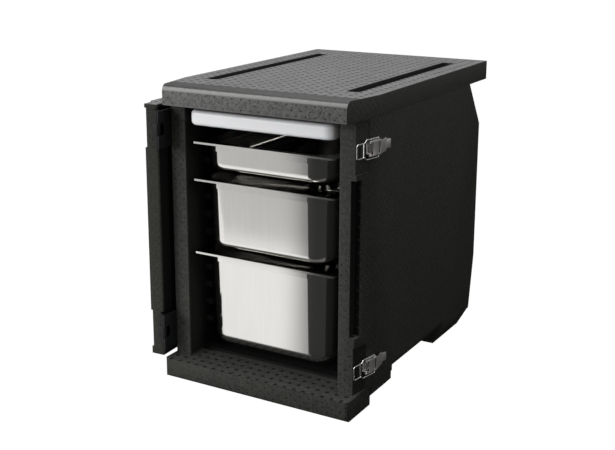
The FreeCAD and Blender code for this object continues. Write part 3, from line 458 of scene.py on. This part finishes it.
@dataclass(frozen=True)
class SteelFinish:
    """Stainless steel with a drawn or brushed grain, faint smears and a few soft dents."""

    name: str
    tint: Colour = (0.66, 0.65, 0.63)
    deep: Colour = (0.54, 0.53, 0.51)
    rough: float = 0.26
    grain: tuple[float, float, float] = (900.0, 900.0, 14.0)
    grain_height: float = 0.02 * MM
    smear: float = 0.10
    grain_show: float = 0.5
    dents: float = 0.25

    def build(self) -> bpy.types.Material:
        """Make the material."""
        graph = Graph(self.name)
        place = graph.place()
        lines = graph.noise(graph.stretch(place, self.grain), 1.0, 3.0)
        smears = graph.noise(graph.stretch(place, (1.0, 1.0, 0.45)), 9.0, 3.0, 0.5)
        spots = graph.noise(place, 30.0, 2.0).ramp(0.62, 0.75)
        colour = graph.blend((smears * 0.6 + lines * 0.4).limited(), self.deep, self.tint)
        rough = self.rough + (smears - 0.5) * self.smear + (lines - 0.5) * 0.08 + spots * 0.03
        normal = graph.relief(lines, self.grain_height, self.grain_show)
        normal = graph.relief(graph.noise(place, 7.0, 1.0), 0.4 * MM, self.dents, normal)
        return graph.finish(Base_Color=colour, Roughness=rough, Metallic=1.0, Normal=normal)


@dataclass(frozen=True)
class CoatedFinish:
    """Black coated metal with a fine texture and bare metal showing through at rubbed spots."""

    name: str
    coat: Colour = (0.004, 0.0045, 0.005)
    bare: Colour = (0.10, 0.10, 0.10)
    rough: float = 0.55
    wear: float = 0.74

    def build(self) -> bpy.types.Material:
        """Make the material."""
        graph = Graph(self.name)
        place = graph.place()
        rubbed = graph.noise(place, 120.0, 4.0, 0.7).ramp(self.wear, self.wear + 0.06)
        grain = graph.noise(place, 1400.0, 2.0)
        colour = graph.blend(rubbed, self.coat, self.bare)
        rough = self.rough + grain * 0.12 - rubbed * 0.08
        normal = graph.relief(grain, 0.05 * MM, 0.5)
        return graph.finish(
            Base_Color=colour, Roughness=rough, Metallic=rubbed * 0.9, Normal=normal,
            Specular_IOR_Level=0.25,
        )


@dataclass(frozen=True)
class PlasticFinish:
    """Smooth moulded plastic with a faint orange-peel skin and a faintly clouded tone."""

    name: str
    tint: Colour = (0.93, 0.94, 0.95)
    shade: Colour = (0.88, 0.89, 0.91)
    rough: float = 0.30

    def build(self) -> bpy.types.Material:
        """Make the material."""
        graph = Graph(self.name)
        place = graph.place()
        cloud = graph.noise(place, 10.0, 3.0)
        peel = graph.noise(place, 260.0, 2.0)
        colour = graph.blend(cloud.ramp(0.35, 0.75), self.tint, self.shade)
        rough = self.rough + cloud * 0.10
        normal = graph.relief(peel, 0.06 * MM, 0.4)
        return graph.finish(
            Base_Color=colour, Roughness=rough, Normal=normal,
            Subsurface_Weight=0.12, Subsurface_Scale=0.01,
        )


@dataclass(frozen=True)
class FloorFinish:
    """The studio's floor: white to the camera, and to everything else dark with a bright sheet.

    The sheet lies in front on the left, and each of its spans is where one of its edges fades.
    """

    name: str = "floor_white"
    tint: Colour = (0.02, 0.02, 0.02)
    glow: float = 1.0
    bounce: float = 0.02
    card_near: float = 0.46
    card_middle: float = 0.12
    card_far: float = 0.68
    card_slope: float = 0.577
    card_right: Span = (0.0, 0.14)
    card_back: Span = (-0.12, -0.06)
    card_front: Span = (-3.2, -2.6)
    card_left: Span = (-3.4, -2.8)
    middle_from: Span = (-1.5, -0.75)
    near_from: Span = (-0.80, -0.62)

    def build(self) -> bpy.types.Material:
        """Make the material."""
        graph = Graph(self.name)
        grain = graph.noise(graph.place(), 3.0, 2.0)
        colour = graph.blend(grain, self.tint, tuple(c * 0.99 for c in self.tint))
        seen = graph.add("ShaderNodeLightPath", output="Is Camera Ray")
        x, y, _ = graph.split(graph.place())
        card = 1 - (x - y * self.card_slope).ramp(*self.card_right)
        card = card * (1 - y.ramp(*self.card_back)) * y.ramp(*self.card_front)
        card = card * x.ramp(*self.card_left)
        level = y.ramp(*self.middle_from) * self.card_middle
        level = level + y.ramp(*self.near_from) * self.card_near + self.card_far
        level = (card * level).most(self.bounce)
        return graph.finish(
            Base_Color=colour, Roughness=0.9, Specular_IOR_Level=0.05,
            Emission_Color=graph.blend(seen, level, (1.0, 1.0, 1.0)), Emission_Strength=self.glow,
        )


@dataclass
class Palette:
    """Every finish, made once and handed out by slot."""

    finishes: dict[Slot, Any] = field(default_factory=lambda: {
        # top, front and side are painted light for each foam; each Shadow is a painted shadow
        Slot.SHELL: FoamFinish("shell_foam", top=(0.072, 0.072, 0.068), shadows=(
            Shadow((0.1960, 0.0008, 0.158), (0.2120, 0.0190, 0.463), 0.95),
            Shadow((0.1960, 0.0190, 0.158), (0.2075, 0.0215, 0.463), 0.95),
            Shadow((0.2000, 0.0020, 0.042), (0.2130, 0.0400, 0.137), 0.70),
            Shadow((0.2000, 0.0020, 0.476), (0.2130, 0.0400, 0.574), 0.25),
            Shadow((-0.1750, 0.0040, 0.043), (0.1750, 0.5850, 0.580), 0.95, 3.0 * MM),
        )),
        Slot.COVER: FoamFinish(
            "cover_foam", top=(0.155, 0.152, 0.153), front=(0.16, 0.158, 0.155),
            # edge paints a shade strip and a highlight along the lid's front edge
            side=(0.045, 0.046, 0.040), rough=0.50, sheen=0.30, edge=0.80,
            plain=(0.205, 0.008, 0.598),
            shadows=(
                Shadow((-0.1755, 0.066, 0.560), (-0.1445, 0.552, 0.6145), 0.97),
                Shadow((0.1445, 0.066, 0.560), (0.1755, 0.552, 0.6145), 0.97),
            )),
        Slot.DOOR: FoamFinish("door_foam", turn=math.radians(-93.0), marks=0.8, shadows=(
            Shadow((-0.2240, -0.0270, 0.044), (-0.2150, 0.0300, 0.573), 0.92, 2.0 * MM),
        )),
        Slot.HINGE: CoatedFinish("hinge_coat"),
        Slot.DARK: CoatedFinish("fastener_coat", rough=0.30, wear=0.60),
        Slot.BRIGHT: SteelFinish("bright_wire", tint=(0.95, 0.95, 0.95), deep=(0.85, 0.85, 0.85),
                                 rough=0.22, grain=(300.0, 300.0, 300.0)),
        Slot.SATIN: SteelFinish("satin_steel", tint=(0.95, 0.92, 0.90), deep=(0.80, 0.77, 0.75),
                                rough=0.40, grain=(600.0, 20.0, 600.0)),
        Slot.PAN: SteelFinish("pan_steel", rough=0.11, smear=0.04, grain_show=0.15, dents=0.10,
                              grain=(260.0, 260.0, 10.0)),
        Slot.PLATE: PlasticFinish("plate_plastic"),
        Slot.CAP: PlasticFinish("cap_plastic", tint=(0.80, 0.82, 0.85), shade=(0.70, 0.72, 0.76)),
    })
    made: dict[Slot, bpy.types.Material] = field(default_factory=dict)

    def get(self, slot: Slot) -> bpy.types.Material:
        """The material of a slot."""
        if slot not in self.made:
            self.made[slot] = self.finishes[slot].build()
        return self.made[slot]


# ------------------------------------------------------------------ meshes

@dataclass(frozen=True)
class EdgeRounder:
    """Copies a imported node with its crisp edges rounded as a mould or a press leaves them."""

    width: float = 1.2 * MM
    segments: int = 2
    crease: float = math.radians(28.0)
    merge: float = 0.01 * MM
    flat: float = math.radians(0.4)

    def copy(self, node: str, name: str) -> bpy.types.Object:
        """Copy and round a node.

        Args:
            node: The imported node.
            name: The new piece's name.

        Returns:
            The new piece.
        """
        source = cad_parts[node]
        work = bmesh.new()
        work.from_mesh(source.data)
        work.transform(source.matrix_world)
        bmesh.ops.remove_doubles(work, verts=work.verts, dist=self.merge)
        bmesh.ops.dissolve_limit(work, angle_limit=self.flat, verts=work.verts, edges=work.edges)
        crisp = [edge for edge in work.edges
                 if len(edge.link_faces) == 2 and edge.calc_face_angle(0.0) > self.crease]
        bmesh.ops.bevel(
            work, geom=crisp, offset=self.width, offset_type="OFFSET", segments=self.segments,
            profile=0.5, affect="EDGES", clamp_overlap=True,
        )
        bmesh.ops.triangulate(work, faces=[face for face in work.faces if len(face.verts) > 4])
        return finish_mesh(work, name)


def finish_mesh(work: bmesh.types.BMesh, name: str,
                crease: float = math.radians(40.0)) -> bpy.types.Object:
    """Turn a bmesh into a linked object with smooth shading and sharp creases.

    Args:
        work: The mesh in progress, which is freed.
        name: The piece's name.
        crease: The angle above which an edge stays sharp.

    Returns:
        The object.
    """
    mesh = bpy.data.meshes.new(name)
    work.to_mesh(mesh)
    work.free()
    for polygon in mesh.polygons:
        polygon.use_smooth = True
    mesh.set_sharp_from_angle(angle=crease)
    made = bpy.data.objects.new(name, mesh)
    bpy.context.scene.collection.objects.link(made)
    return made


def dress(made: bpy.types.Object, material: bpy.types.Material) -> None:
    """Give an object one material."""
    made.data.materials.clear()
    made.data.materials.append(material)


def dress_node(node: str, material: bpy.types.Material) -> None:
    """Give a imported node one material.

    Args:
        node: The node's name.
        material: The material.
    """
    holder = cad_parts[node]
    if not holder.material_slots:
        holder.data.materials.append(material)
    for slot in holder.material_slots:
        slot.material = material
    log.info("dressed %s with %s", node, material.name)


def stand_for(made: bpy.types.Object, node: str, body: str,
              material: bpy.types.Material) -> None:
    """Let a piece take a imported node's place.

    Args:
        made: The piece.
        node: The node that it replaces.
        body: The body that it rides on.
        material: Its material.
    """
    dress(made, material)
    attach(made, body)
    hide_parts(node)
    log.info("built %s for %s", made.name, node)


def dome(work: bmesh.types.BMesh, centre: Vector, normal: Vector, radius: float, height: float,
         rings: int = 4, sides: int = 16) -> None:
    """Add a shallow closed dome to a mesh.

    Args:
        work: The mesh in progress.
        centre: The middle of its flat side.
        normal: The way that it stands out.
        radius: Its radius.
        height: How far it stands out.
        rings: Rings from the rim to the top.
        sides: Points in each ring.
    """
    turn = normal.to_track_quat("Z", "Y").to_matrix()
    loops = []
    for ring in range(rings):
        angle = ring / rings * math.pi / 2
        loops.append([
            work.verts.new(centre + turn @ Vector((
                radius * math.cos(angle) * math.cos(2 * math.pi * side / sides),
                radius * math.cos(angle) * math.sin(2 * math.pi * side / sides),
                height * math.sin(angle))))
            for side in range(sides)])
    top = work.verts.new(centre + turn @ Vector((0, 0, height)))
    work.faces.new(list(reversed(loops[0])))
    for lower, upper in zip(loops, loops[1:]):
        for side in range(sides):
            after = (side + 1) % sides
            work.faces.new((lower[side], lower[after], upper[after], upper[side]))
    for side in range(sides):
        work.faces.new((loops[-1][side], loops[-1][(side + 1) % sides], top))


# ------------------------------------------------------------------ sub-assemblies

@dataclass
class Shell:
    """The foam shell, with the grip studs in its finger rebate."""

    palette: Palette
    edge: float = 1.6 * MM
    stud_radius: float = 4.0 * MM
    stud_height: float = 1.6 * MM
    stud_pitch: float = 25.0 * MM
    stud_first: float = 172.0 * MM
    stud_last: float = 452.0 * MM
    rebate_x: float = 204.0 * MM
    rebate_y: float = 20.1 * MM

    def build(self) -> None:
        """Build and dress the shell."""
        foam = self.palette.get(Slot.SHELL)
        made = EdgeRounder(self.edge).copy("body_shell", "shell_moulding")
        stand_for(made, "body_shell", "carrier", foam)
        self._studs(foam)

    def _studs(self, foam: bpy.types.Material) -> None:
        """Add the row of studs on the rebate's back."""
        work = bmesh.new()
        count = int((self.stud_last - self.stud_first) / self.stud_pitch) + 1
        for step in range(count):
            rise = self.stud_first + step * self.stud_pitch
            centre = Vector((self.rebate_x, self.rebate_y, rise))
            dome(work, centre, Vector((0, -1, 0)), self.stud_radius, self.stud_height)
        studs = finish_mesh(work, "finger_rebate_studs")
        dress(studs, foam)
        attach(studs, "carrier")
        log.info("built finger_rebate_studs")


@dataclass
class Cover:
    """The glued top cover."""

    palette: Palette
    edge: float = 1.8 * MM

    def build(self) -> None:
        """Build and dress the cover."""
        made = EdgeRounder(self.edge, segments=3).copy("top_cover", "cover_moulding")
        stand_for(made, "top_cover", "carrier", self.palette.get(Slot.COVER))


@dataclass
class Door:
    """The foam door, standing open at rest."""

    palette: Palette
    edge: float = 1.2 * MM

    def build(self) -> None:
        """Build and dress the door."""
        made = EdgeRounder(self.edge).copy("door_panel", "door_moulding")
        stand_for(made, "door_panel", "door", self.palette.get(Slot.DOOR))


@dataclass
class Ironwork:
    """Hinges, latches, keepers and their fasteners."""

    palette: Palette
    edge: float = 0.35 * MM
    ends: tuple[str, ...] = ("upper", "lower")

    def _rounded(self, node: str, body: str, slot: Slot) -> None:
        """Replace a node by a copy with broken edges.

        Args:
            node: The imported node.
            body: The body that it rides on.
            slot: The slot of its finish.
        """
        made = EdgeRounder(self.edge, segments=2).copy(node, f"{node}_finished")
        stand_for(made, node, body, self.palette.get(slot))

    def build(self) -> None:
        """Build and dress every metal fitting."""
        for end in self.ends:
            self._rounded(f"{end}_hinge_body_leaf", "carrier", Slot.HINGE)
            self._rounded(f"{end}_hinge_door_leaf", "door", Slot.HINGE)
            self._rounded(f"{end}_latch_base", "carrier", Slot.SATIN)
            self._rounded(f"{end}_latch_lever", f"{end}_lever", Slot.SATIN)
            self._rounded(f"{end}_latch_keeper", "door", Slot.SATIN)
            dress_node(f"{end}_hinge_pin", self.palette.get(Slot.DARK))
            dress_node(f"{end}_latch_bail", self.palette.get(Slot.BRIGHT))
            dress_node(f"{end}_latch_pin", self.palette.get(Slot.BRIGHT))
        for node, slot in (("hinge_body_screws", Slot.DARK), ("hinge_door_screws", Slot.DARK),
                           ("latch_rivets", Slot.SATIN), ("keeper_rivets", Slot.SATIN)):
            dress_node(node, self.palette.get(slot))


@dataclass
class Contents:
    """The food pans and the cold plate."""

    palette: Palette
    pans: tuple[str, ...] = ("shallow_pan", "medium_pan", "deep_pan")

    def build(self) -> None:
        """Dress the pans and the plate."""
        for pan in self.pans:
            dress_node(pan, self.palette.get(Slot.PAN))
        dress_node("cold_plate", self.palette.get(Slot.PLATE))
        dress_node("cold_plate_cap", self.palette.get(Slot.CAP))


# ------------------------------------------------------------------ studio

@dataclass(frozen=True)
class Lamp:
    """One soft box."""

    name: str
    place: Point
    aim: Point
    width: float
    height: float
    power: float
    tint: Colour = (1.0, 1.0, 1.0)

    def build(self) -> None:
        """Hang the lamp and aim it."""
        light = bpy.data.lights.new(self.name, "AREA")
        light.shape = "RECTANGLE"
        light.size = self.width
        light.size_y = self.height
        light.energy = self.power
        light.color = self.tint
        made = bpy.data.objects.new(self.name, light)
        bpy.context.scene.collection.objects.link(made)
        made.location = self.place
        line = Vector(self.aim) - Vector(self.place)
        made.rotation_euler = line.to_track_quat("-Z", "Y").to_euler()


@dataclass
class Studio:
    """The floor, the surround, white to the camera and soft to the part, and the soft boxes."""

    floor_half: float = 30.0
    floor_drop: float = 0.2 * MM
    surround: float = 1.0
    fill: float = 0.30
    lamps: tuple[Lamp, ...] = (
        Lamp("key_left_front", (-2.4, -2.8, 1.4), (0.0, 0.0, 0.3), 2.0, 2.2, 100.0),
        Lamp("overhead", (-0.2, 0.5, 2.4), (0.0, 0.3, 0.3), 2.2, 2.2, 62.0),
        Lamp("fill_right", (2.6, -0.4, 1.4), (0.1, 0.2, 0.3), 1.0, 1.4, 13.0),
    )

    def build(self) -> None:
        """Build the floor, the surround and the lamps."""
        self._floor()
        self._surround()
        for lamp in self.lamps:
            lamp.build()
        view = bpy.context.scene.view_settings
        view.view_transform = "Standard"
        view.look = "None"
        view.exposure = 0.0
        view.gamma = 1.0

    def _floor(self) -> None:
        """Lay the floor."""
        work = bmesh.new()
        bmesh.ops.create_grid(work, x_segments=8, y_segments=8, size=self.floor_half)
        bmesh.ops.translate(work, verts=work.verts, vec=(0.0, 0.0, -self.floor_drop))
        floor = finish_mesh(work, "studio_floor")
        dress(floor, FloorFinish().build())

    def _surround(self) -> None:
        """Make the backdrop white and its light soft."""
        world = bpy.data.worlds.new("studio_surround")
        bpy.context.scene.world = world
        world.use_nodes = True
        tree = world.node_tree
        tree.nodes.clear()
        seen = tree.nodes.new("ShaderNodeLightPath")
        white = tree.nodes.new("ShaderNodeBackground")
        white.inputs["Strength"].default_value = self.surround
        white.inputs["Color"].default_value = (1, 1, 1, 1)
        soft = tree.nodes.new("ShaderNodeBackground")
        soft.inputs["Strength"].default_value = self.fill
        soft.inputs["Color"].default_value = (1, 1, 1, 1)
        pick = tree.nodes.new("ShaderNodeMixShader")
        out = tree.nodes.new("ShaderNodeOutputWorld")
        tree.links.new(seen.outputs["Is Camera Ray"], pick.inputs["Fac"])
        tree.links.new(soft.outputs[0], pick.inputs[1])
        tree.links.new(white.outputs[0], pick.inputs[2])
        tree.links.new(pick.outputs[0], out.inputs["Surface"])


@dataclass(frozen=True)
class Viewpoint:
    """The camera."""

    place: Point = (1.0681, -1.6900, 0.9335)
    azimuth: float = 30.85
    elevation: float = 14.17
    roll: float = -0.11
    focal: float = 62.70
    sensor: float = 36.0
    shift_across: float = 0.0354
    shift_up: float = -0.0629
    nearest: float = 0.05
    furthest: float = 40.0

    def build(self) -> None:
        """Place the camera."""
        lens = bpy.data.cameras.new("viewpoint")
        lens.lens = self.focal
        lens.sensor_width = self.sensor
        lens.sensor_fit = "HORIZONTAL"
        lens.shift_x = self.shift_across
        lens.shift_y = self.shift_up
        lens.clip_start = self.nearest
        lens.clip_end = self.furthest
        made = bpy.data.objects.new("viewpoint", lens)
        bpy.context.scene.collection.objects.link(made)
        turn = Matrix.Rotation(math.radians(self.azimuth), 4, "Z")
        tilt = Matrix.Rotation(math.radians(90.0 - self.elevation), 4, "X")
        twist = Matrix.Rotation(math.radians(self.roll), 4, "Z")
        made.matrix_world = Matrix.Translation(Vector(self.place)) @ turn @ tilt @ twist
        bpy.context.scene.camera = made


def main() -> None:
    """Build the carrier, its studio and its camera."""
    palette = Palette()
    steps: list[tuple[str, Callable[[], None]]] = [
        ("viewpoint", Viewpoint().build),
        ("studio", Studio().build),
        ("shell", Shell(palette).build),
        ("cover", Cover(palette).build),
        ("door", Door(palette).build),
        ("ironwork", Ironwork(palette).build),
        ("contents", Contents(palette).build),
    ]
    for name, step in steps:
        log.info("building %s", name)
        step()


if __name__ == "__main__":
    main()
